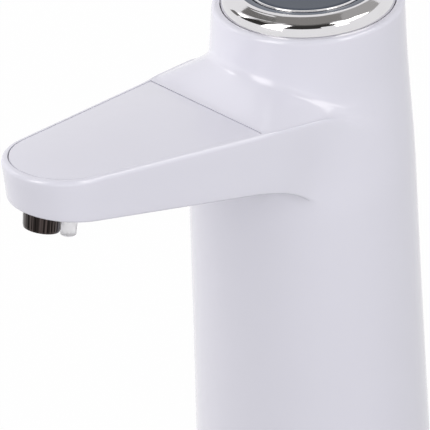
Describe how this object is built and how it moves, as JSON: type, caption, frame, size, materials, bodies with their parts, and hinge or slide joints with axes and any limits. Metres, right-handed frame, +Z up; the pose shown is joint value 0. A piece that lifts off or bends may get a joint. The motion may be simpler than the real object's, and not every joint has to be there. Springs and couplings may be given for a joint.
{
  "type": "electric water bottle pump",
  "caption": "White tapered pump that stands on a water bottle's neck, with a wedge-shaped spout, bright nozzle and a dark push button in a bright ring on top.",
  "frame": {"origin": "centre of the mouth of the bottle-neck bore, on the plane that the pump stands on", "axes": "+Z up along the body's axis, the spout points to -Y, +X to the right seen from the spout's side"},
  "size_m": [0.0798, 0.1505, 0.1849],
  "materials": {
    "white_plastic": "glossy white",
    "inner_plastic": "plain grey",
    "pump_plastic": "plain grey",
    "light_plastic": "plain off-white",
    "dark_plastic": "plain dark",
    "panel": "slate, satin gloss",
    "button": "dark slate, satin gloss",
    "bright": "polished",
    "dark_chrome": "polished, dark",
    "clear": "clear",
    "silicone": "translucent silicone",
    "rubber": "plain",
    "valve_rubber": "plain",
    "steel": "zinc plated",
    "magnet": "plain",
    "bronze": "sintered",
    "copper": "enamelled",
    "cell_wrap": "shrink wrap",
    "board": "solder mask",
    "red_wire": "insulation",
    "black_wire": "insulation"
  },
  "bodies": {
    "housing": {"body_shell": "white_plastic", "spout_cover": "white_plastic", "base_collar": "white_plastic", "collar_screws": "steel", "neck_seal": "silicone", "hose_tail": "light_plastic", "hose_nut": "light_plastic", "chassis": "inner_plastic", "upper_bracket": "inner_plastic", "bracket_screws": "steel", "pump_boot": "rubber", "pump_head": "light_plastic", "outlet_valve": "valve_rubber", "valve_plate": "pump_plastic", "inlet_valves": "valve_rubber", "diaphragm": "rubber", "pump_case": "pump_plastic", "pump_screws": "steel", "motor_can": "steel", "front_bush": "bronze", "motor_magnets": "magnet", "motor_brushes": "copper", "motor_end_cap": "dark_plastic", "rear_bush": "bronze", "motor_leads": "red_wire", "inlet_hose": "silicone", "outlet_hose": "silicone", "outlet_elbow": "light_plastic", "outlet_nozzle": "dark_chrome", "light_pipe": "clear", "light_board": "board", "battery_cell": "cell_wrap", "battery_tabs": "steel", "battery_leads": "black_wire", "charge_board": "board", "usb_socket": "steel", "charge_leads": "red_wire", "control_board": "board", "board_screws": "steel", "tact_switch": "dark_plastic", "panel_carrier": "dark_plastic", "top_bezel": "bright", "panel_ring": "panel"},
    "rotor": {"motor_shaft": "steel", "armature_core": "magnet", "armature_windings": "copper", "commutator": "copper", "eccentric_wheel": "light_plastic", "drive_pin": "steel"},
    "swing": {"swing_frame": "light_plastic"},
    "button": {"button_cap": "button", "button_trim": "bright", "switch_plunger": "light_plastic"}
  },
  "joints": [
    {"name": "button_press", "type": "slide", "parent": "housing", "child": "button", "axis": [0, 0, -1], "range_m": [0, 0.0006], "stiffness_N_per_m": 2500, "springref_m": -0.0004},
    {"name": "motor_spin", "type": "hinge", "parent": "housing", "child": "rotor", "pos_m": [0, 0, 0.08], "axis": [0, 0, 1], "continuous": true},
    {"name": "frame_swing", "type": "hinge", "parent": "rotor", "child": "swing", "pos_m": [0, 0, 0.0495], "axis": [0.1392, 0, 0.9903], "continuous": true, "deforming": ["diaphragm"]}
  ],
  "couplings": [
    {"joint": "frame_swing", "follows": "motor_spin", "ratio": -1}
  ]
}
